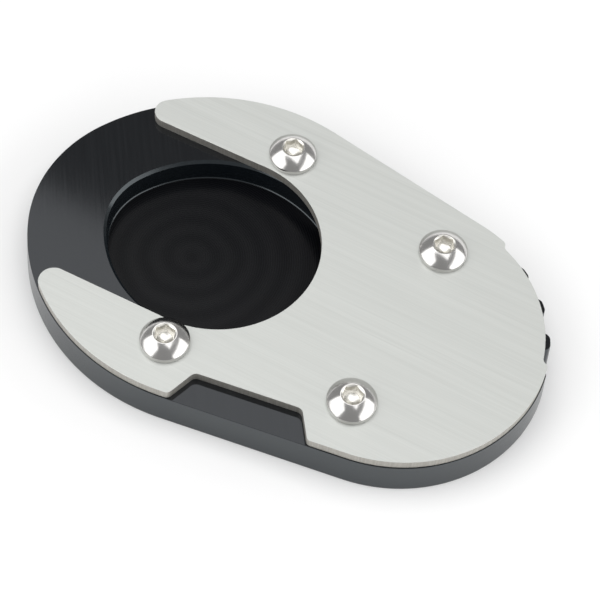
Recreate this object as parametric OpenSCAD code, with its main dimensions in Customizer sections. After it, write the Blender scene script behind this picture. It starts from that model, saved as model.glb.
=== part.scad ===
// Side-stand foot enlarger: a machined aluminium base with a pocket for the stand's own foot,
// a steel top plate whose open slot lets the foot slide in, and four button-head screws.
// Frame: X runs from the pocket (the rear) to the nose (the front), Y to the left, Z up.
// The origin is on the axis of the plate's round hole, at the underside of the base.

/* [Outline] */
// Radius of the rear end of the base
rear_r = 33.1; // [32:0.1:38]
// Distance from the hole's axis back to the centre of the rear end
rear_back = 9.3; // [8:0.1:11]
// Half of the angle that the arc of the rear end covers
rear_half_angle = 27.5; // [24:0.5:34]
// Radius of the two shoulders between the rear end and the flanks
shoulder_r = 45.4; // [44:0.1:52]
// Radius of the nose
nose_r = 33.4; // [30:0.1:36]
// Distance from the hole's axis to the centre of the nose
nose_x = 43; // [40:0.5:60]
// Sideways offset of the outline and the pocket from the hole's axis
axis_y = 0.3; // [0:0.1:1]

/* [Base] */
// Thickness of the base
base_t = 8; // [7.5:0.1:12]
// Bevel along the base's outer edges
edge_bevel = 0.4; // [0.2:0.1:0.8]

/* [Pocket] */
// Width left between the edge of the base and the pocket's wall, round its rear
pocket_wall = 17.3; // [16.8:0.1:19]
// Distance from the hole's axis forward to the centre of the pocket's round front end
pocket_front_x = 5; // [3:0.5:9]
// Depth of the pocket below the top of the base
pocket_depth = 5.7; // [3:0.1:6]
// Bevel round the pocket's mouth
mouth_bevel = 0.6; // [0.3:0.1:0.9]
// Bevel in the corner between the pocket's wall and floor
floor_bevel = 0.4; // [0.2:0.1:0.8]

/* [Scallops] */
// Number of scallops cut in the nose
scallop_count = 4; // [2:1:5]
// Angle between neighbouring scallops
scallop_pitch = 16; // [14:0.5:18]
// Direction of the middle of the row of scallops
scallop_middle = 41; // [38:1:44]
// Radius of each scallop
scallop_r = 2.4; // [1.5:0.1:2.8]
// Radius of the rounded corners of the teeth between the scallops
tooth_r = 2; // [0.8:0.1:2.4]

/* [Top plate] */
// Thickness of the steel sheet
plate_t = 2.2; // [1.5:0.1:3]
// How far the plate's edge stays inside the edge of the base
plate_inset = 0.65; // [0.4:0.05:1.2]
// Radius of the plate's hole over the pocket
hole_r = 22.6; // [22.4:0.1:23]
// Width of the slot from the hole to the rear
slot_w = 45.1; // [42:0.1:45.1]
// Angle by which the slot is turned from the outline's axis
slot_turn = 1.2; // [0:0.1:2]
// Radius of the rounded tips of the two arms
tip_r = 3.25; // [2:0.05:3.5]
// Depth of the step where the plate clears the scallops
relief_depth = 1.2; // [0.8:0.1:2]
// Radius in the inner corner of that step
step_r = 1.4; // [1.2:0.1:2]
// How far the step starts past the middle of the last scallop, as an angle
step_margin = 2; // [0:0.5:3]
// Radius of the plate's smaller corners
corner_r = 1.2; // [0.5:0.1:1.5]

/* [Side notch] */
// Length of the notch along the plate's edge
notch_open_w = 30; // [24:0.5:32]
// Length of the notch's inner edge
notch_inner_w = 23.4; // [18:0.1:24]
// Depth of the notch
notch_depth = 6.5; // [4:0.1:7]
// Distance from the start of the nose back to the middle of the notch
notch_back = 23.4; // [22:0.1:24]
// Radius of the notch's inner corners
notch_corner_r = 1.6; // [1:0.1:2]

/* [Screws] */
// Thread diameter
thread_d = 6; // [5, 6]
// Diameter of the button head
head_d = 10.5; // [9.5:0.1:10.5]
// Height of the button head
head_h = 3.3; // [2.5:0.1:3.3]
// Height of the straight rim under the head's curved side
head_rim_h = 0.4; // [0.2:0.05:0.6]
// Radius of the head's flat top, outside the socket
head_top_r = 2.6; // [2.2:0.05:2.8]
// Radius of the curve from the rim to the flat top
head_curve_r = 5.75; // [4:0.05:8]
// Size of the hexagon socket across its flats
hex_af = 4; // [3:0.5:4]
// Depth of the hexagon socket
hex_depth = 2.1; // [1.5:0.1:2.2]
// How far the screws' points end above the underside of the base
point_gap = 0.2; // [0.1:0.1:1.5]
// Place of the rear pair of screws along the outline's axis
screw_rear_x = 3.35; // [2:0.05:5]
// Distance from the sides of the plate's hole and slot to the heads of the rear screws
head_gap = 0.15; // [0.1:0.05:2]
// Least wall between the pocket's mouth and the holes of the rear screws
hole_wall = 1.9; // [1.5:0.1:4]
// Distance of the front pair of screws ahead of the centre of the nose
screw_front_lead = 0.6; // [-3:0.1:3]
// Distance between the front pair of screws
screw_front_span = 43; // [38:0.1:46]
// Gap all round the thread in the base
thread_gap = 0.05; // [0.02:0.01:0.1]
// Gap all round the thread in the plate
plate_hole_gap = 0.2; // [0.1:0.05:0.4]

/* [Hidden] */
$fn = 128;
// Cutting shapes reach this far past what they cut
over = 1;
// Straight pieces sit this far inside the arcs that they touch, so that the two always merge
tuck = 0.001;
top_z = base_t + plate_t;
floor_z = base_t - pocket_depth;
shoulder_shift = shoulder_r - rear_r;
shoulder_x = shoulder_shift * cos(rear_half_angle) - rear_back;
shoulder_y = shoulder_shift * sin(rear_half_angle);
joint_x = -rear_back - rear_r * cos(rear_half_angle);
edge_r = nose_r - plate_inset;
relief_r = edge_r - relief_depth;
relief_half_angle = (scallop_count - 1) * scallop_pitch / 2 + step_margin;
steel = [0.80, 0.80, 0.78];
anodised = [0.13, 0.13, 0.14];
bright = [0.86, 0.86, 0.87];

// The circles that the outlines are drawn from, each [x, y, radius]
nose = [nose_x, axis_y, nose_r];
rear = [-rear_back, axis_y, rear_r];
left_shoulder = [shoulder_x, axis_y - shoulder_y, shoulder_r];
right_shoulder = [shoulder_x, axis_y + shoulder_y, shoulder_r];

// The rear screws stand clear of the plate's opening and of the pocket's mouth
tap_r = thread_d / 2 + thread_gap;
mouth_half_w = shoulder_r - pocket_wall - shoulder_y + mouth_bevel;
screw_rear_y = max(max(hole_r, slot_w / 2) + head_gap + head_d / 2, mouth_half_w + hole_wall + tap_r);
screw_len = base_t + plate_t - point_gap;
screw_places = [
    [screw_rear_x, axis_y + screw_rear_y],
    [screw_rear_x, axis_y - screw_rear_y],
    [nose_x + screw_front_lead, axis_y + screw_front_span / 2],
    [nose_x + screw_front_lead, axis_y - screw_front_span / 2]];

function centre(c) = [c[0], c[1]];
function polar(from, r, a) = from + r * [cos(a), sin(a)];
function angle_of(v) = atan2(v[1], v[0]);
// Direction at right angles to the straight line that touches circles a and b on the left
function touch_angle(a, b) =
    angle_of(centre(b) - centre(a)) + acos((a[2] - b[2]) / norm(centre(b) - centre(a)));
function touch_len(a, b) = sqrt(pow(norm(centre(b) - centre(a)), 2) - pow(a[2] - b[2], 2));
flank_angle = -touch_angle(nose, right_shoulder);

// Half of a section through a body of radius r, with a bevel at its low and its high edge. The
// high bevel is negative where it widens. The section runs on past both faces, by a length that
// is each piece's own, so that no two pieces of a union end in the same plane.
module half_section(r, low, high, low_bevel, high_bevel, past)
    polygon(concat([[0, low - past], [r - low_bevel - sign(low_bevel) * past, low - past]],
                   low_bevel == 0 ? [] : [[r, low + low_bevel]],
                   high_bevel == 0 ? [] : [[r, high - abs(high_bevel)]],
                   [[r - high_bevel - sign(high_bevel) * past, high + past], [0, high + past]]));

module disc(c, low, high, low_bevel, high_bevel, past)
    translate(centre(c))
        rotate_extrude()
            half_section(c[2], low, high, low_bevel, high_bevel, past);

// The straight side between two discs, on the left when facing from a to b
module flank(a, b, low, high, low_bevel, high_bevel, past)
    translate(centre(a))
        rotate([90, 0, touch_angle(a, b)])
            linear_extrude(touch_len(a, b))
                half_section(a[2] - tuck, low, high, low_bevel, high_bevel, past);

// Trims what it is given to the heights from low to high
module level(low, high)
    intersection() {
        union() children();
        translate([-2 * shoulder_r, -2 * shoulder_r, low])
            cube([6 * shoulder_r, 4 * shoulder_r, high - low]);
    }

// The solid outline shared by the base and the plate, the plate's drawn inside by the inset
module body(low, high, inset, bevel) {
    in = [0, 0, -inset];
    level(low, high) {
        disc(nose + in, low, high, bevel, bevel, over);
        disc(rear + in + [0, 0, tuck], low, high, bevel, bevel, 1.1 * over);
        intersection() {
            disc(left_shoulder + in, low, high, bevel, bevel, 1.2 * over);
            disc(right_shoulder + in, low, high, bevel, bevel, 1.3 * over);
            translate([joint_x + inset * cos(rear_half_angle), -shoulder_r, low - 2 * over])
                cube([2 * shoulder_r, 2 * shoulder_r, high - low + 4 * over]);
        }
        flank(left_shoulder + in, nose + in, low, high, bevel, bevel, 1.4 * over);
        flank(nose + in, right_shoulder + in, low, high, bevel, bevel, 1.5 * over);
    }
}

// A slice of the plane from direction low to direction high, up to half a turn
module slice(reach, low, high)
    polygon([[0, 0], polar([0, 0], reach, low), polar([0, 0], 3 * reach, (low + high) / 2),
             polar([0, 0], reach, high)]);

// Rounds a corner to radius r about c, between the directions of the two edges that it touches
module round_off(c, r, low, high)
    translate(c)
        difference() {
            slice(4 * r, low, high);
            circle(r + tuck);
        }

// The pocket follows the rear of the outline at an even distance and ends in a round front
module pocket() {
    in = [0, 0, -pocket_wall];
    reach = [pocket_front_x - shoulder_x, shoulder_y];
    front = [pocket_front_x, axis_y, shoulder_r - pocket_wall - norm(reach)];
    level(floor_z, top_z) {
        disc(front, floor_z, base_t, floor_bevel, -mouth_bevel, over);
        disc(rear + in, floor_z, base_t, floor_bevel, -mouth_bevel, 1.1 * over);
        for (side = [0, 1])
            translate([0, axis_y, 0])
                mirror([0, side, 0])
                    intersection() {
                        disc([shoulder_x, -shoulder_y, shoulder_r - pocket_wall - tuck], floor_z,
                             base_t, floor_bevel, -mouth_bevel, (1.2 + side / 10) * over);
                        translate([shoulder_x, -shoulder_y, floor_z - 2 * over])
                            linear_extrude(pocket_depth + 4 * over)
                                slice(2 * shoulder_r, angle_of(reach), 180 - rear_half_angle);
                    }
    }
}

// A scallop in the nose, with the corners of the teeth beside it rounded off
module scallop(direction) {
    near = nose_r - tooth_r;
    turn = acos((nose_r * nose_r + near * near - pow(scallop_r + tooth_r, 2)) / (2 * nose_r * near));
    module through_base()
        translate([nose_x, axis_y, -over])
            rotate([0, 0, direction])
                linear_extrude(base_t + 2 * over)
                    children();
    through_base() translate([nose_r, 0]) circle(scallop_r);
    for (side = [0, 1])
        through_base()
            mirror([0, side]) {
                c = polar([0, 0], near, turn);
                round_off(c, tooth_r, angle_of([nose_r, 0] - c), turn);
            }
}

module base_plate()
    color(anodised)
        difference() {
            body(0, base_t, 0, edge_bevel);
            pocket();
            for (i = [0 : scallop_count - 1])
                scallop(scallop_middle + (i - (scallop_count - 1) / 2) * scallop_pitch);
            for (place = screw_places)
                translate([place[0], place[1], -over])
                    cylinder(r = tap_r, h = base_t + 2 * over);
        }

// The slot, with the sharp tips that it leaves on the two arms rounded off
module slot() {
    rotate(slot_turn) {
        translate([-2 * shoulder_r, -slot_w / 2]) square([2 * shoulder_r, slot_w]);
        for (side = [-1, 1]) {
            shoulder = (side < 0) ? right_shoulder : left_shoulder;
            hub = [shoulder[0] * cos(slot_turn) + shoulder[1] * sin(slot_turn),
                   shoulder[1] * cos(slot_turn) - shoulder[0] * sin(slot_turn)];
            tip_y = side * (slot_w / 2 + tip_r);
            reach = shoulder_r - plate_inset - tip_r;
            tip = [hub[0] - sqrt(reach * reach - pow(tip_y - hub[1], 2)), tip_y];
            outward = (angle_of(tip - hub) + 360) % 360;
            round_off(tip, tip_r, side < 0 ? 90 : outward, side < 0 ? outward : 270);
        }
    }
}

// The notch, in a frame whose X points out through the flank
module notch() {
    slope = atan((notch_open_w - notch_inner_w) / 2 / notch_depth);
    inner_x = edge_r - notch_depth;
    function side_y(x) = notch_inner_w / 2 + (x - inner_x) * tan(slope);
    translate(centre(nose))
        rotate(-flank_angle)
            translate([0, -notch_back])
                for (side = [0, 1])
                    mirror([0, side]) {
                        difference() {
                            polygon([[inner_x, -over], [edge_r + over, -over],
                                     [edge_r + over, side_y(edge_r + over)],
                                     [inner_x, side_y(inner_x)]]);
                            centre_x = inner_x + notch_corner_r;
                            round_off([centre_x, side_y(centre_x) - notch_corner_r / cos(slope)],
                                      notch_corner_r, 90 + slope, 180);
                        }
                        outer_x = edge_r - corner_r;
                        round_off([outer_x, side_y(outer_x) + corner_r / cos(slope)],
                                  corner_r, slope - 90, 0);
                    }
}

// The step that keeps the plate clear of the scallops
module relief()
    translate(centre(nose))
        rotate(scallop_middle) {
            difference() {
                slice(1.5 * edge_r, -relief_half_angle, relief_half_angle);
                circle(relief_r);
            }
            for (side = [0, 1])
                mirror([0, side]) {
                    end = polar([0, 0], relief_r + step_r - tuck, relief_half_angle);
                    translate(end) circle(step_r);
                    near = edge_r - corner_r;
                    far = norm(end);
                    turn = acos((near * near + far * far - pow(step_r + corner_r, 2)) / (2 * near * far));
                    c = polar([0, 0], near, relief_half_angle + turn);
                    round_off(c, corner_r, angle_of(end - c), relief_half_angle + turn);
                }
        }

module through_plate()
    translate([0, 0, base_t - over])
        linear_extrude(plate_t + 2 * over)
            children();

module top_plate()
    color(steel)
        difference() {
            body(base_t, top_z, plate_inset, 0);
            through_plate() circle(hole_r);
            through_plate() slot();
            through_plate() notch();
            through_plate() relief();
            for (place = screw_places)
                through_plate() translate(place) circle(thread_d / 2 + plate_hole_gap);
        }

// Half of the head's section: the curved side runs from the rim to the flat top
module head_section() {
    low = [head_d / 2, head_rim_h];
    high = [head_top_r, head_h];
    chord = norm(high - low);
    sag = sqrt(head_curve_r * head_curve_r - chord * chord / 4);
    hub = (low + high) / 2 - sag / chord * [high[1] - low[1], low[0] - high[0]];
    intersection() {
        translate(hub) circle(head_curve_r);
        square([head_d / 2, head_h]);
    }
}

module screw(i)
    color(bright)
        translate([screw_places[i][0], screw_places[i][1], top_z]) {
            socket_r = hex_af / 2 / cos(30);
            mouth_r = socket_r + 0.15;
            lead_r = hex_af / 2 - 0.1;
            point = 0.8;
            difference() {
                rotate_extrude() head_section();
                translate([0, 0, head_h - hex_depth])
                    cylinder(r = socket_r, h = hex_depth + over, $fn = 6);
                translate([0, 0, head_h - (mouth_r - lead_r)])
                    cylinder(r1 = lead_r, r2 = mouth_r + over, h = mouth_r - lead_r + over);
            }
            translate([0, 0, -screw_len])
                cylinder(r1 = thread_d / 2 - point, r2 = thread_d / 2, h = point);
            translate([0, 0, point - screw_len])
                cylinder(r = thread_d / 2, h = screw_len - point);
        }

base_plate();
top_plate();
screw(0);  // screw_rear_left
screw(1);  // screw_rear_right
screw(2);  // screw_front_left
screw(3);  // screw_front_right
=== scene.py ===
# Side-stand foot enlarger: black base, brushed plate and four polished button screws
# on a pale table under soft studio light. Sizes in the dictionaries are in millimetres.
import bpy
import math
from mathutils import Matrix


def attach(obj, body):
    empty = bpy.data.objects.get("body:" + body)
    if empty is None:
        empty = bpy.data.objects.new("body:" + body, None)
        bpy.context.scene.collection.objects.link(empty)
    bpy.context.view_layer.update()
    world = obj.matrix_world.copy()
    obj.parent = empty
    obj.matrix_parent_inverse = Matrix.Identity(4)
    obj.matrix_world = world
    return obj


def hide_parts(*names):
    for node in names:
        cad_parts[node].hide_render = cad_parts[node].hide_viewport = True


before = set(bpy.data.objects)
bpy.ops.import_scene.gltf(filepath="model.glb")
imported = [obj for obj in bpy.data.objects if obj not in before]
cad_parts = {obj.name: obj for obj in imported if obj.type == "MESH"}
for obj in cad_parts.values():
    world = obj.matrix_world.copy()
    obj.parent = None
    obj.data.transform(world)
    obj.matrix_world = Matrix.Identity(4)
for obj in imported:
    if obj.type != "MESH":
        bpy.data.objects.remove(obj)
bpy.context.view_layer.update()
mm = 0.001
print("frame loaded,", len(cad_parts), "nodes")


def dropSelection():
    if bpy.context.object and bpy.context.object.mode != "OBJECT":
        bpy.ops.object.mode_set(mode="OBJECT")
    bpy.ops.object.select_all(action="DESELECT")


def pickOnly(piece):
    dropSelection()
    piece.select_set(True)
    bpy.context.view_layer.objects.active = piece


def editOn(piece, mode="EDGE"):
    pickOnly(piece)
    bpy.ops.object.mode_set(mode="EDIT")
    bpy.ops.mesh.select_mode(type=mode)
    bpy.ops.mesh.select_all(action="DESELECT")


def editOff():
    bpy.ops.object.mode_set(mode="OBJECT")


def pickEdges(piece, wanted):
    # selects the edges for which wanted(end1, end2) holds, ends in millimetres
    editOn(piece, "EDGE")
    editOff()
    mesh = piece.data
    for edge in mesh.edges:
        ends = [mesh.vertices[i].co / mm for i in edge.vertices]
        edge.select = wanted(*ends)
    bpy.ops.object.mode_set(mode="EDIT")


def onHeight(height, slack=0.01):
    return lambda p, q: abs(p.z - height) < slack and abs(q.z - height) < slack


def polar(centre, radius, angle):
    turn = math.radians(angle)
    return (centre[0] + radius * math.cos(turn), centre[1] + radius * math.sin(turn))


def angleOf(start, end):
    return math.degrees(math.atan2(end[1] - start[1], end[0] - start[0]))


def placeOf(centre, radius, angle):
    x, y = polar(centre, radius, angle)
    return (x * mm, y * mm)


def loneVertex(name, place):
    # an object of one vertex, left in edit mode
    dropSelection()
    bpy.ops.mesh.primitive_plane_add(size=0.001, location=place)
    piece = bpy.context.object
    piece.name = name
    bpy.ops.object.transform_apply(location=True)
    bpy.ops.object.mode_set(mode="EDIT")
    bpy.ops.mesh.select_mode(type="VERT")
    bpy.ops.mesh.select_all(action="SELECT")
    bpy.ops.mesh.merge(type="CENTER")
    return piece


def traceArcs(name, arcs, height, widest=1.6, longest=0.9):
    # draws a closed outline as by hand: one point, spun along each arc and drawn straight
    # between, in steps of at most the widest angle and the longest length in millimetres
    x, y = placeOf(*arcs[0][:3])
    piece = loneVertex(name, (x, y, height * mm))
    for centre, radius, start, end in arcs:
        nextX, nextY = placeOf(centre, radius, start)
        if math.hypot(nextX - x, nextY - y) > 2e-6:
            bpy.ops.mesh.extrude_region_move(
                TRANSFORM_OT_translate={"value": (nextX - x, nextY - y, 0)})
        sweep = end - start
        length = math.radians(abs(sweep)) * radius
        steps = max(3, round(abs(sweep) / widest), round(length / longest))
        bpy.ops.mesh.spin(steps=steps, angle=-math.radians(sweep), axis=(0, 0, 1),
                          center=(centre[0] * mm, centre[1] * mm, height * mm))
        x, y = placeOf(centre, radius, end)
    bpy.ops.mesh.select_all(action="SELECT")
    bpy.ops.mesh.remove_doubles(threshold=4e-6)
    bpy.ops.mesh.edge_face_add()
    editOff()
    return piece


def raiseOutline(piece, thickness, draft=0):
    # the wall goes straight up, or from half a millimetre up leans in by the draft
    straight = 0.5 if draft else thickness
    editOn(piece, "FACE")
    bpy.ops.mesh.select_all(action="SELECT")
    bpy.ops.mesh.extrude_region_move(TRANSFORM_OT_translate={"value": (0, 0, straight * mm)})
    if draft:
        bpy.ops.mesh.inset(thickness=draft * mm, depth=0)
        bpy.ops.transform.translate(value=(0, 0, (thickness - straight) * mm))
    bpy.ops.mesh.select_all(action="SELECT")
    bpy.ops.mesh.normals_make_consistent(inside=False)
    editOff()


def stackRings(name, rings, place, sides=96):
    # a turned solid: a circle extruded up and scaled through each (radius, height)
    dropSelection()
    firstR, firstZ = rings[0]
    bpy.ops.mesh.primitive_circle_add(vertices=sides, radius=firstR * mm, fill_type="NGON",
                                      location=(place[0] * mm, place[1] * mm, firstZ * mm))
    piece = bpy.context.object
    piece.name = name
    bpy.ops.object.transform_apply(location=True)
    bpy.ops.object.mode_set(mode="EDIT")
    bpy.ops.mesh.select_mode(type="FACE")
    bpy.ops.mesh.select_all(action="SELECT")
    radius, height = firstR, firstZ
    for nextR, nextZ in rings[1:]:
        bpy.ops.mesh.extrude_region_move(
            TRANSFORM_OT_translate={"value": (0, 0, (nextZ - height) * mm)})
        bpy.ops.transform.resize(value=(nextR / radius, nextR / radius, 1))
        radius, height = nextR, nextZ
    bpy.ops.mesh.select_all(action="SELECT")
    bpy.ops.mesh.normals_make_consistent(inside=False)
    editOff()
    return piece


def cutWith(piece, cutter):
    pickOnly(piece)
    bpy.ops.object.modifier_add(type="BOOLEAN")
    cut = piece.modifiers[-1]
    cut.operation = "DIFFERENCE"
    cut.solver = "EXACT"
    cut.object = cutter
    bpy.ops.object.modifier_apply(modifier=cut.name)
    bpy.data.objects.remove(cutter, do_unlink=True)


def drill(piece, place, radius, middle, depth):
    # a round hole, its middle at that height
    dropSelection()
    bpy.ops.mesh.primitive_cylinder_add(vertices=64, radius=radius * mm, depth=depth * mm,
                                        location=(place[0] * mm, place[1] * mm, middle * mm))
    cutWith(piece, bpy.context.object)


def bevelPicked(width, segments=3):
    bpy.ops.mesh.bevel(offset=width * mm, segments=segments, profile=0.5, affect="EDGES",
                       offset_type="OFFSET", clamp_overlap=True)
    editOff()


def breakEdges(piece, width, segments, degrees):
    # rounds every edge that turns by more than those degrees
    pickOnly(piece)
    bpy.ops.object.modifier_add(type="BEVEL")
    rounding = piece.modifiers[-1]
    rounding.width = width * mm
    rounding.segments = segments
    rounding.limit_method = "ANGLE"
    rounding.angle_limit = math.radians(degrees)
    bpy.ops.object.modifier_apply(modifier=rounding.name)


def smoothUp(piece, degrees=28):
    # smooth shading that keeps the large flat faces flat
    pickOnly(piece)
    bpy.ops.object.shade_smooth_by_angle(angle=math.radians(degrees), keep_sharp_edges=False)
    bpy.ops.object.modifier_add(type="WEIGHTED_NORMAL")
    weighting = piece.modifiers[-1]
    weighting.keep_sharp = True
    weighting.weight = 50
    bpy.ops.object.modifier_apply(modifier=weighting.name)


def dress(piece, material, wanted=None):
    # gives the whole piece a material, or only the faces for which wanted(centre, normal) holds
    if wanted is None:
        piece.data.materials.clear()
        piece.data.materials.append(material)
        return
    piece.data.materials.append(material)
    index = len(piece.data.materials) - 1
    for face in piece.data.polygons:
        if wanted(face.center / mm, face.normal):
            face.material_index = index


def newMaterial(name):
    material = bpy.data.materials.new(name)
    material.use_nodes = True
    nodes = material.node_tree.nodes
    return material, nodes, material.node_tree.links, nodes["Principled BSDF"]


def stretchedNoise(nodes, links, stretch, turn=0, detail=3):
    # noise drawn out along one direction, on the piece's own coordinates
    coords = nodes.new("ShaderNodeTexCoord")
    mapping = nodes.new("ShaderNodeMapping")
    mapping.inputs["Rotation"].default_value = (0, 0, math.radians(turn))
    squeeze = nodes.new("ShaderNodeMapping")
    squeeze.inputs["Scale"].default_value = stretch
    noise = nodes.new("ShaderNodeTexNoise")
    noise.inputs["Scale"].default_value = 1
    noise.inputs["Detail"].default_value = detail
    noise.inputs["Roughness"].default_value = 0.6
    links.new(coords.outputs["Object"], mapping.inputs["Vector"])
    links.new(mapping.outputs["Vector"], squeeze.inputs["Vector"])
    links.new(squeeze.outputs["Vector"], noise.inputs["Vector"])
    return noise


def spread(nodes, links, source, low, high, fromLow=0.3, fromHigh=0.7):
    # spreads a grey value over a range of numbers
    node = nodes.new("ShaderNodeMapRange")
    node.inputs["From Min"].default_value = fromLow
    node.inputs["From Max"].default_value = fromHigh
    node.inputs["To Min"].default_value = low
    node.inputs["To Max"].default_value = high
    links.new(source, node.inputs["Value"])
    return node.outputs["Result"]


def ramp(nodes, links, source, stops):
    node = nodes.new("ShaderNodeValToRGB")
    node.color_ramp.elements[0].position = stops[0][0]
    node.color_ramp.elements[0].color = (*stops[0][1], 1)
    node.color_ramp.elements[1].position = stops[-1][0]
    node.color_ramp.elements[1].color = (*stops[-1][1], 1)
    for position, colour in stops[1:-1]:
        node.color_ramp.elements.new(position).color = (*colour, 1)
    links.new(source, node.inputs["Fac"])
    return node.outputs["Color"]


def bumpFrom(nodes, links, shader, source, strength, depth):
    bump = nodes.new("ShaderNodeBump")
    bump.inputs["Strength"].default_value = strength
    bump.inputs["Distance"].default_value = depth * mm
    links.new(source, bump.inputs["Height"])
    links.new(bump.outputs["Normal"], shader.inputs["Normal"])


steelLook = {"dark": (0.575, 0.588, 0.565), "light": (0.682, 0.695, 0.672),
             "rough": (0.48, 0.60), "brushDepth": 0.014, "stretch": 0.6,
             "rimDark": (0.40, 0.385, 0.35), "rimLight": (0.52, 0.505, 0.465),
             "rimMetal": 0.7, "rimRough": 0.55}


def brushedSteel():
    material, nodes, links, shader = newMaterial("brushedSteel")
    fine = stretchedNoise(nodes, links, (40, 5200, 40), detail=4)
    broad = stretchedNoise(nodes, links, (9, 700, 9), detail=3)
    mixed = nodes.new("ShaderNodeMix")
    mixed.inputs["Factor"].default_value = 0.4
    links.new(fine.outputs["Fac"], mixed.inputs["A"])
    links.new(broad.outputs["Fac"], mixed.inputs["B"])
    grain = mixed.outputs["Result"]
    links.new(ramp(nodes, links, grain, [(0.3, steelLook["dark"]), (0.7, steelLook["light"])]),
              shader.inputs["Base Color"])
    links.new(spread(nodes, links, grain, *steelLook["rough"]), shader.inputs["Roughness"])
    shader.inputs["Metallic"].default_value = 1
    # brushed lengthways, so highlights stretch across
    across = nodes.new("ShaderNodeCombineXYZ")
    across.inputs["Y"].default_value = 1
    links.new(across.outputs["Vector"], shader.inputs["Tangent"])
    shader.inputs["Anisotropic"].default_value = steelLook["stretch"]
    bumpFrom(nodes, links, shader, grain, 0.35, steelLook["brushDepth"])
    return material


def cutEdge():
    # the sheet's cut rim, with fine upright striations
    material, nodes, links, shader = newMaterial("cutEdge")
    lines = stretchedNoise(nodes, links, (2600, 2600, 120), detail=3)
    links.new(ramp(nodes, links, lines.outputs["Fac"],
                   [(0.3, steelLook["rimDark"]), (0.7, steelLook["rimLight"])]),
              shader.inputs["Base Color"])
    shader.inputs["Metallic"].default_value = steelLook["rimMetal"]
    shader.inputs["Roughness"].default_value = steelLook["rimRough"]
    bumpFrom(nodes, links, shader, lines.outputs["Fac"], 0.3, 0.02)
    return material


anodLook = {"face": (0.0025, 0.003, 0.004), "faceLight": (0.006, 0.0067, 0.008),
            "wall": (0.004, 0.006, 0.008), "wallLight": (0.008, 0.011, 0.014),
            "floor": (0.002, 0.0022, 0.003), "floorLight": (0.004, 0.0043, 0.0055),
            "faceRough": (0.07, 0.10), "wallRough": (0.16, 0.24), "floorRough": (0.20, 0.26),
            "faceTint": (0.91, 0.95, 1, 1), "wallTint": (0.87, 0.955, 1, 1),
            "wallShine": 0.80, "floorShine": (0.112, 0.142), "lineTurn": 55,
            "ringPlace": (-5.0, -1.8), "fineRings": 620, "broadRings": 62}


def milledBlack():
    # the base's top: black anodised over fine straight milling lines
    material, nodes, links, shader = newMaterial("milledBlack")
    lines = stretchedNoise(nodes, links, (60, 3600, 60), turn=anodLook["lineTurn"], detail=2)
    links.new(ramp(nodes, links, lines.outputs["Fac"],
                   [(0.35, anodLook["face"]), (0.7, anodLook["faceLight"])]),
              shader.inputs["Base Color"])
    links.new(spread(nodes, links, lines.outputs["Fac"], *anodLook["faceRough"]),
              shader.inputs["Roughness"])
    shader.inputs["Specular Tint"].default_value = anodLook["faceTint"]
    bumpFrom(nodes, links, shader, lines.outputs["Fac"], 0.22, 0.01)
    return material


def satinBlack():
    # the base's milled side wall
    material, nodes, links, shader = newMaterial("satinBlack")
    grain = stretchedNoise(nodes, links, (900, 900, 3200), detail=3)
    links.new(ramp(nodes, links, grain.outputs["Fac"],
                   [(0.3, anodLook["wall"]), (0.7, anodLook["wallLight"])]),
              shader.inputs["Base Color"])
    links.new(spread(nodes, links, grain.outputs["Fac"], *anodLook["wallRough"]),
              shader.inputs["Roughness"])
    shader.inputs["Specular IOR Level"].default_value = anodLook["wallShine"]
    shader.inputs["Specular Tint"].default_value = anodLook["wallTint"]
    bumpFrom(nodes, links, shader, grain.outputs["Fac"], 0.12, 0.01)
    return material


def pocketBlack():
    # the pocket's floor, with the rings that the cutter left
    material, nodes, links, shader = newMaterial("pocketBlack")
    coords = nodes.new("ShaderNodeTexCoord")
    centred = nodes.new("ShaderNodeMapping")
    ringX, ringY = anodLook["ringPlace"]
    centred.inputs["Location"].default_value = (-ringX * mm, -ringY * mm, 0)
    links.new(coords.outputs["Object"], centred.inputs["Vector"])
    rings, passes = nodes.new("ShaderNodeTexWave"), nodes.new("ShaderNodeTexWave")
    for wave, tightness, wander in ((rings, anodLook["fineRings"], 0.4),
                                    (passes, anodLook["broadRings"], 1.6)):
        wave.wave_type = "RINGS"
        wave.rings_direction = "Z"
        wave.inputs["Scale"].default_value = tightness
        wave.inputs["Distortion"].default_value = wander
        wave.inputs["Detail"].default_value = 2
        wave.inputs["Detail Scale"].default_value = 1.2
        links.new(centred.outputs["Vector"], wave.inputs["Vector"])
    links.new(ramp(nodes, links, rings.outputs["Fac"],
                   [(0.1, anodLook["floor"]), (0.9, anodLook["floorLight"])]),
              shader.inputs["Base Color"])
    links.new(spread(nodes, links, rings.outputs["Fac"], *anodLook["floorRough"], 0, 1),
              shader.inputs["Roughness"])
    # the broad rings are the cutter's passes, each a little duller on one side
    links.new(spread(nodes, links, passes.outputs["Fac"], *anodLook["floorShine"], 0, 1),
              shader.inputs["Specular IOR Level"])
    bumpFrom(nodes, links, shader, rings.outputs["Fac"], 0.12, 0.01)
    return material


# the socket's colour is lighter and warmer than the polished head's steel: a painted highlight in
# the recess
screwLook = {"polished": (0.64, 0.63, 0.615, 1), "polishedRough": (0.16, 0.20),
             "polishedBump": 0.03, "socket": (0.79, 0.775, 0.73, 1),
             "socketRough": (0.28, 0.36), "socketBump": 0}


def screwSteel(part):
    # the polished head, or the socket, which is pressed and not polished and so rougher; the
    # socket's steel is also painted lighter and warmer than the head's, a painted highlight in
    # the recess
    material, nodes, links, shader = newMaterial(part + "Steel")
    haze = stretchedNoise(nodes, links, (900, 900, 900))
    links.new(spread(nodes, links, haze.outputs["Fac"], *screwLook[part + "Rough"]),
              shader.inputs["Roughness"])
    shader.inputs["Base Color"].default_value = screwLook[part]
    shader.inputs["Metallic"].default_value = 1
    if screwLook[part + "Bump"]:
        bumpFrom(nodes, links, shader, haze.outputs["Fac"], screwLook[part + "Bump"], 0.01)
    return material


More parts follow.
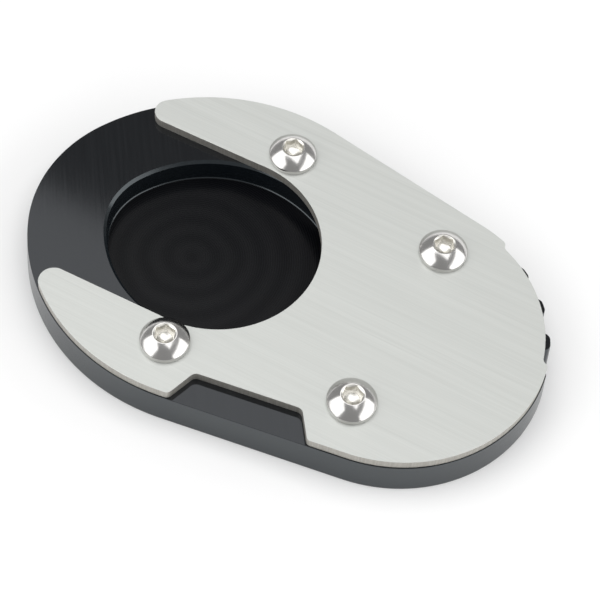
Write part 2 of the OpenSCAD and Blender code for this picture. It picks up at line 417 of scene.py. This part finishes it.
steel, rim = brushedSteel(), cutEdge()
faceBlack, wallBlack, floorBlack = milledBlack(), satinBlack(), pocketBlack()
bright, socket = screwSteel("polished"), screwSteel("socket")
print("finishes mixed")


outline = {"rearR": 33.1, "rearBack": 9.3, "rearHalf": 27.5, "shoulderR": 45.4,
           "noseR": 33.4, "noseX": 43.0, "axisY": 0.3}
shift = outline["shoulderR"] - outline["rearR"]
noseC = (outline["noseX"], outline["axisY"])
rearC = (-outline["rearBack"], outline["axisY"])
shoulderX = shift * math.cos(math.radians(outline["rearHalf"])) - outline["rearBack"]
shoulderY = shift * math.sin(math.radians(outline["rearHalf"]))
leftC = (shoulderX, outline["axisY"] - shoulderY)
rightC = (shoulderX, outline["axisY"] + shoulderY)
# angle of the left flank's outward normal: the flank touches the left shoulder and the nose
flankTurn = angleOf(leftC, noseC) + math.degrees(
    math.acos((outline["shoulderR"] - outline["noseR"]) / math.dist(leftC, noseC)))


def rearHalfArcs(inset):
    # the left shoulder, the rear end and the right shoulder, anticlockwise
    half = outline["rearHalf"]
    return [(leftC, outline["shoulderR"] - inset, flankTurn, 180 - half),
            (rearC, outline["rearR"] - inset, 180 - half, 180 + half),
            (rightC, outline["shoulderR"] - inset, 180 + half, 360 - flankTurn)]


base = {"thick": 8.0, "edgeBevel": 0.12, "draft": 0.4, "pocketWall": 17.3,
        "pocketFrontX": 5.0, "pocketDepth": 5.7, "mouthBevel": 0.6, "floorRound": 0.45,
        "scallops": (17, 33, 49, 65), "scallopR": 2.4, "toothR": 2.0, "holeR": 3.05,
        "holeBevel": 0.4}
screwPlaces = [(3.35, 28.3), (3.35, -27.7), (43.6, 21.8), (43.6, -21.2)]


def scallopedNose():
    # nose arc with round bites and round teeth, anticlockwise from the right flank to the left
    arcs = []
    radius, bite, tooth = outline["noseR"], base["scallopR"], base["toothR"]
    near = radius - tooth
    half = math.degrees(math.acos(
        (radius ** 2 + near ** 2 - (bite + tooth) ** 2) / (2 * radius * near)))
    at = -flankTurn
    for angle in base["scallops"]:
        middle = polar(noseC, radius, angle)
        corner1, corner2 = polar(noseC, near, angle - half), polar(noseC, near, angle + half)
        swing1, swing2 = angleOf(corner1, middle), angleOf(corner2, middle)
        arcs.append((noseC, radius, at, angle - half))
        arcs.append((corner1, tooth, angle - half, swing1))
        arcs.append((middle, bite, swing1 + 180, swing2 + 180))
        arcs.append((corner2, tooth, swing2, angle + half))
        at = angle + half
    arcs.append((noseC, radius, at, flankTurn))
    return arcs


def pocketArcs():
    # the pocket follows the rear of the outline at an even distance and ends in a round front
    frontC, half = (base["pocketFrontX"], outline["axisY"]), outline["rearHalf"]
    sideR = outline["shoulderR"] - base["pocketWall"]
    touch = angleOf(leftC, frontC)
    return [(frontC, sideR - math.dist(leftC, frontC), -touch, touch),
            (leftC, sideR, touch, 180 - half),
            (rearC, outline["rearR"] - base["pocketWall"], 180 - half, 180 + half),
            (rightC, sideR, 180 + half, 360 - touch)]


def makeBase():
    piece = traceArcs("basePlate", scallopedNose() + rearHalfArcs(0), 0)
    raiseOutline(piece, base["thick"], base["draft"])
    pickEdges(piece, lambda p, q: onHeight(0)(p, q) or onHeight(base["thick"])(p, q))
    bevelPicked(base["edgeBevel"], 3)
    pocket = traceArcs("pocketCutter", pocketArcs(), base["thick"] - base["pocketDepth"])
    raiseOutline(pocket, base["pocketDepth"] + 2)
    cutWith(piece, pocket)
    pickEdges(piece, lambda p, q: onHeight(base["thick"])(p, q) and onWall(p) and onWall(q))
    bevelPicked(base["mouthBevel"], 1)
    pickEdges(piece, lambda p, q: onHeight(base["thick"] - base["pocketDepth"])(p, q)
              and onWall(p) and onWall(q))
    bevelPicked(base["floorRound"], 3)
    for place in screwPlaces:
        drill(piece, place, base["holeR"], base["thick"] / 2, base["thick"] + 4)
    pickEdges(piece, lambda p, q: onHeight(0)(p, q) and any(
        abs(math.dist((p.x, p.y), c) - base["holeR"]) < 0.02
        and abs(math.dist((q.x, q.y), c) - base["holeR"]) < 0.02 for c in screwPlaces))
    bevelPicked(base["holeBevel"], 1)
    smoothUp(piece)
    dress(piece, faceBlack)
    dress(piece, wallBlack, lambda c, n: abs(n.z) < 0.95)
    dress(piece, floorBlack, lambda c, n: n.z > 0.95 and c.z < base["thick"] - 1)
    return piece


def onWall(p):
    # true where a point lies on the pocket's wall line, seen from above
    for centre, radius, start, end in pocketArcs():
        turn = angleOf(centre, (p.x, p.y))
        turn += 360 * math.ceil((start - 1 - turn) / 360)
        if turn < end + 1 and abs(math.dist(centre, (p.x, p.y)) - radius) < 0.05:
            return True
    return False


basePlate = makeBase()
print("base milled")


plate = {"low": 8.0, "thick": 2.2, "inset": 0.62, "holeR": 22.6, "slotW": 45.1, "slotTurn": 1.2,
         "tipR": 3.25, "relief": 1.2, "reliefFrom": 15.0, "reliefTo": 67.0, "stepR": 1.4,
         "cornerR": 1.2, "notchOpen": 30.0, "notchInner": 23.4, "notchDepth": 6.5,
         "notchBack": 23.4, "notchR": 1.6, "screwHoleR": 3.2, "edgeBreak": 0.14}


def reliefNose(edgeR):
    # nose arc stepped in beside the scallops, with rounded steps
    reliefR = edgeR - plate["relief"]
    near = edgeR - plate["cornerR"]
    far = reliefR + plate["stepR"]
    reach = plate["stepR"] + plate["cornerR"]
    turn = math.degrees(math.acos((near ** 2 + far ** 2 - reach ** 2) / (2 * near * far)))
    first, last = plate["reliefFrom"], plate["reliefTo"]
    end1, end2 = polar(noseC, far, first), polar(noseC, far, last)
    corner1, corner2 = polar(noseC, near, first - turn), polar(noseC, near, last + turn)
    swing1, swing2 = angleOf(corner1, end1), angleOf(corner2, end2)
    return [(noseC, edgeR, -flankTurn, first - turn),
            (corner1, plate["cornerR"], first - turn, swing1),
            (end1, plate["stepR"], swing1 + 180, first + 180),
            (noseC, reliefR, first, last),
            (end2, plate["stepR"], last + 180, swing2 + 180),
            (corner2, plate["cornerR"], swing2, last + turn),
            (noseC, edgeR, last + turn, flankTurn)]


def notchArcs(edgeR):
    # the side notch on the right flank, drawn in a frame whose X points out of the flank
    slope = math.degrees(math.atan(
        (plate["notchOpen"] - plate["notchInner"]) / 2 / plate["notchDepth"]))
    tilt = math.radians(slope)
    innerX = edgeR - plate["notchDepth"]

    def sideY(x):
        return plate["notchInner"] / 2 + (x - innerX) * math.tan(tilt)

    deepX, outX = innerX + plate["notchR"], edgeR - plate["cornerR"]
    deepY = sideY(deepX) - plate["notchR"] / math.cos(tilt)
    outY = sideY(outX) + plate["cornerR"] / math.cos(tilt)
    local = [((outX, -outY), plate["cornerR"], 0, 90 - slope),
             ((deepX, -deepY), plate["notchR"], -90 - slope, -180),
             ((deepX, deepY), plate["notchR"], 180, 90 + slope),
             ((outX, outY), plate["cornerR"], slope - 90, 0)]
    turn = math.radians(-flankTurn)
    arcs = []
    for (x, y), radius, start, end in local:
        y -= plate["notchBack"]
        arcs.append(((noseC[0] + x * math.cos(turn) - y * math.sin(turn),
                      noseC[1] + x * math.sin(turn) + y * math.cos(turn)),
                     radius, start - flankTurn, end - flankTurn))
    return arcs


def armTip(side, inset):
    # centre and outward angle of the round at an arm's tip, +1 the left arm, -1 the right
    turn = math.radians(plate["slotTurn"])
    hubX, hubY = leftC if side > 0 else rightC
    hub = (hubX * math.cos(turn) + hubY * math.sin(turn),
           hubY * math.cos(turn) - hubX * math.sin(turn))
    tipY = side * (plate["slotW"] / 2 + plate["tipR"])
    reach = outline["shoulderR"] - inset - plate["tipR"]
    tipX = hub[0] - math.sqrt(reach ** 2 - (tipY - hub[1]) ** 2)
    tip = (tipX * math.cos(turn) - tipY * math.sin(turn),
           tipX * math.sin(turn) + tipY * math.cos(turn))
    return tip, angleOf((hubX, hubY), tip) % 360


def makePlate():
    inset, slotTurn = plate["inset"], plate["slotTurn"]
    edgeR = outline["noseR"] - inset
    shoulderR = outline["shoulderR"] - inset
    leftTip, leftOut = armTip(1, inset)
    rightTip, rightOut = armTip(-1, inset)
    mouth = math.degrees(math.acos(-math.sqrt(1 - (plate["slotW"] / 2 / plate["holeR"]) ** 2)))
    arcs = reliefNose(edgeR)
    arcs += [(leftC, shoulderR, flankTurn, leftOut),
             (leftTip, plate["tipR"], leftOut, 270 + slotTurn),
             ((0, 0), plate["holeR"], mouth + slotTurn, slotTurn - mouth),
             (rightTip, plate["tipR"], 90 + slotTurn, rightOut),
             (rightC, shoulderR, rightOut, 360 - flankTurn)]
    arcs += notchArcs(edgeR)
    piece = traceArcs("topPlate", arcs, plate["low"])
    raiseOutline(piece, plate["thick"])
    top = plate["low"] + plate["thick"]
    for place in screwPlaces:
        drill(piece, place, plate["screwHoleR"], plate["low"] + 1, 6)
    breakEdges(piece, plate["edgeBreak"], 3, 50)
    smoothUp(piece)
    dress(piece, steel)
    dress(piece, rim, lambda c, n: abs(n.z) < 0.3 and plate["low"] + 0.1 < c.z < top - 0.1)
    return piece


topPlate = makePlate()
print("plate cut")


screw = {"headR": 5.25, "headH": 3.3, "rimH": 1.15, "topR": 2.6, "curveR": 10.0, "mouthR": 2.44,
         "rimBevel": 0.12, "hexFlats": 4.0, "hexDepth": 2.1, "edgeBreak": 0.05,
         "threadR": 3.0, "rootR": 2.45, "pitch": 1.0, "length": 10.0, "seat": 10.2}
hexTurns = [12, 20, 34, 6]


def makeScrew(name, place, hexTurn):
    # the head's curved side is an arc from the straight rim to the flat ring round the socket
    seat, crown = screw["seat"], screw["seat"] + screw["headH"]
    low, high = (screw["headR"], seat + screw["rimH"]), (screw["topR"], crown)
    chord = math.dist(low, high)
    sag = math.sqrt(screw["curveR"] ** 2 - chord ** 2 / 4)
    hub = ((low[0] + high[0]) / 2 - sag / chord * (high[1] - low[1]),
           (low[1] + high[1]) / 2 - sag / chord * (low[0] - high[0]))
    rings = [(screw["headR"] - screw["rimBevel"], seat),
             (screw["headR"], seat + screw["rimBevel"])]
    start, finish = angleOf(hub, low), angleOf(hub, high)
    for i in range(15):
        rings.append(polar(hub, screw["curveR"], start + (finish - start) * i / 14))
    piece = stackRings(name, rings, place)
    leadIn = [(1.24, crown - 0.72), (screw["mouthR"] + 0.5, crown + 0.3)]
    cutWith(piece, stackRings("leadIn", leadIn, place))
    dropSelection()
    deep = screw["hexDepth"]
    bpy.ops.mesh.primitive_cylinder_add(
        vertices=6, radius=screw["hexFlats"] / 2 / math.cos(math.pi / 6) * mm,
        depth=(deep + 1) * mm, rotation=(0, 0, math.radians(hexTurn)),
        location=(place[0] * mm, place[1] * mm, (crown - deep + (deep + 1) / 2) * mm))
    cutWith(piece, bpy.context.object)
    bowl = [(0.05, crown - deep - 0.75), (0.9, crown - deep - 0.5),
            (1.65, crown - deep - 0.12), (1.8, crown - deep + 0.4)]
    cutWith(piece, stackRings("drillPoint", bowl, place, 48))
    breakEdges(piece, screw["edgeBreak"], 2, 35)
    smoothUp(piece, 20)
    shank = makeThread(place)
    pickOnly(piece)
    shank.select_set(True)
    bpy.ops.object.join()
    dress(piece, bright)
    # the socket's faces get the lighter, warmer steel: a painted highlight
    dress(piece, socket, lambda c, n: crown - 3 < c.z < crown - 0.03
          and math.dist((c.x, c.y), place) < 2.4)
    return piece


def makeThread(place):
    # the thread's profile, drawn tooth by tooth up the shank, then turned once and lifted a pitch
    pitch = screw["pitch"]
    tip = screw["seat"] - screw["length"]
    piece = loneVertex("thread", (screw["rootR"] * mm, 0, (tip + 0.5) * mm))
    climb = [(0, 0.125), (screw["threadR"] - screw["rootR"], 0.3125), (0, 0.125),
             (screw["rootR"] - screw["threadR"], 0.3125), (0, 0.125)]
    for turn in range(8):
        for dr, dz in climb:
            bpy.ops.mesh.extrude_region_move(
                TRANSFORM_OT_translate={"value": (dr * mm, 0, dz * pitch * mm)})
    editOff()
    bpy.ops.object.modifier_add(type="SCREW")
    turning = piece.modifiers[-1]
    turning.angle = 2 * math.pi
    turning.screw_offset = pitch * mm
    turning.steps = 36
    turning.render_steps = 36
    turning.use_merge_vertices = False
    turning.use_smooth_shade = False
    bpy.ops.object.modifier_apply(modifier=turning.name)
    editOn(piece, "VERT")
    bpy.ops.mesh.select_all(action="SELECT")
    bpy.ops.mesh.remove_doubles(threshold=2e-6)
    bpy.ops.mesh.select_all(action="DESELECT")
    editOff()
    dropSelection()
    # the plain point below the thread and the neck above it
    point = stackRings("point", [(screw["threadR"] - 0.8, tip), (screw["rootR"], tip + 0.3),
                                 (screw["rootR"], screw["seat"] + 0.2)], (0, 0), 48)
    pickOnly(piece)
    point.select_set(True)
    bpy.ops.object.join()
    bpy.ops.transform.translate(value=(place[0] * mm, place[1] * mm, 0))
    bpy.ops.object.transform_apply(location=True, rotation=True, scale=True)
    return piece


screwNames = ["screw_rear_left", "screw_rear_right", "screw_front_left", "screw_front_right"]
for nodeName, place, hexTurn in zip(screwNames, screwPlaces, hexTurns):
    piece = makeScrew(nodeName.replace("screw", "button"), place, hexTurn)
    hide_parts(nodeName)
    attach(piece, "root")
print("screws turned")

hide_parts("base_plate")
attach(basePlate, "root")
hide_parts("top_plate")
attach(topPlate, "root")


table = {"size": 6.0, "colour": 0.86, "lift": (0.045, 0.6), "liftFrom": (0.05, 0.42)}
# each box: azimuth, elevation, distance, width, height, radiance, in degrees and metres
studio = {"world": 0.33, "middleX": 0.017,
          "overhead": (90, 87.5, 0.9, 1.35, 0.95, 1.55),
          "leftBox": (-140, 33, 0.7, 0.80, 0.52, 1.6),
          "rightBox": (8, 22, 0.7, 0.96, 0.38, 1.75)}


def makeTable():
    dropSelection()
    bpy.ops.mesh.primitive_plane_add(size=table["size"], location=(0, 0, -0.00005))
    floor = bpy.context.object
    floor.name = "tableTop"
    material, nodes, links, shader = newMaterial("paleTable")
    shader.inputs["Base Color"].default_value = (table["colour"],) * 3 + (1,)
    shader.inputs["Roughness"].default_value = 1
    shader.inputs["Specular IOR Level"].default_value = 0
    # a little light of its own where the camera or a reflection sees it, more of it far from
    # the object, so that it reads white up to the horizon
    coords = nodes.new("ShaderNodeTexCoord")
    away = nodes.new("ShaderNodeVectorMath")
    away.operation = "LENGTH"
    links.new(coords.outputs["Object"], away.inputs[0])
    glow = spread(nodes, links, away.outputs["Value"], *table["lift"], *table["liftFrom"])
    path = nodes.new("ShaderNodeLightPath")
    either = nodes.new("ShaderNodeMath")
    either.operation = "MAXIMUM"
    links.new(path.outputs["Is Camera Ray"], either.inputs[0])
    links.new(path.outputs["Is Glossy Ray"], either.inputs[1])
    lift = nodes.new("ShaderNodeMath")
    lift.operation = "MULTIPLY"
    links.new(either.outputs[0], lift.inputs[0])
    links.new(glow, lift.inputs[1])
    shader.inputs["Emission Color"].default_value = (1, 1, 1, 1)
    links.new(lift.outputs[0], shader.inputs["Emission Strength"])
    dress(floor, material)


def makeWorld():
    world = bpy.data.worlds.new("studioAir")
    bpy.context.scene.world = world
    world.use_nodes = True
    nodes, links = world.node_tree.nodes, world.node_tree.links
    air = nodes["Background"]
    air.inputs["Color"].default_value = (1, 1, 1, 1)
    path = nodes.new("ShaderNodeLightPath")
    level = nodes.new("ShaderNodeMapRange")
    level.inputs["To Min"].default_value = studio["world"]
    level.inputs["To Max"].default_value = 1
    links.new(path.outputs["Is Camera Ray"], level.inputs["Value"])
    links.new(level.outputs["Result"], air.inputs["Strength"])


def softbox(name, azimuth, elevation, distance, width, height, radiance):
    # azimuth is measured from +X towards +Y, and the box faces the middle of the object
    turn, rise = math.radians(azimuth), math.radians(elevation)
    dropSelection()
    bpy.ops.object.light_add(type="AREA", location=(
        studio["middleX"] + distance * math.cos(rise) * math.cos(turn),
        distance * math.cos(rise) * math.sin(turn), distance * math.sin(rise)))
    lamp = bpy.context.object
    lamp.name = name
    lamp.rotation_euler = (math.pi / 2 - rise, 0, turn + math.pi / 2)
    lamp.data.shape = "RECTANGLE"
    lamp.data.size, lamp.data.size_y = width, height
    lamp.data.energy = radiance * math.pi * width * height
    lamp.visible_camera = False


view = {"place": (0.1091029, -0.2082691, 0.3475859), "lens": 114.8665, "sensor": 36,
        "turn": (33.11708, -3.372773, 28.128228)}


def makeCamera():
    dropSelection()
    bpy.ops.object.camera_add(location=view["place"],
                              rotation=[math.radians(angle) for angle in view["turn"]])
    camera = bpy.context.object
    camera.name = "photoCamera"
    camera.data.lens = view["lens"]
    camera.data.sensor_width = view["sensor"]
    camera.data.clip_start, camera.data.clip_end = 0.01, 20
    bpy.context.scene.camera = camera


makeTable()
makeWorld()
for boxName in ("overhead", "leftBox", "rightBox"):
    softbox(boxName, *studio[boxName])
makeCamera()
bpy.context.scene.view_settings.view_transform = "Standard"
print("studio lit")
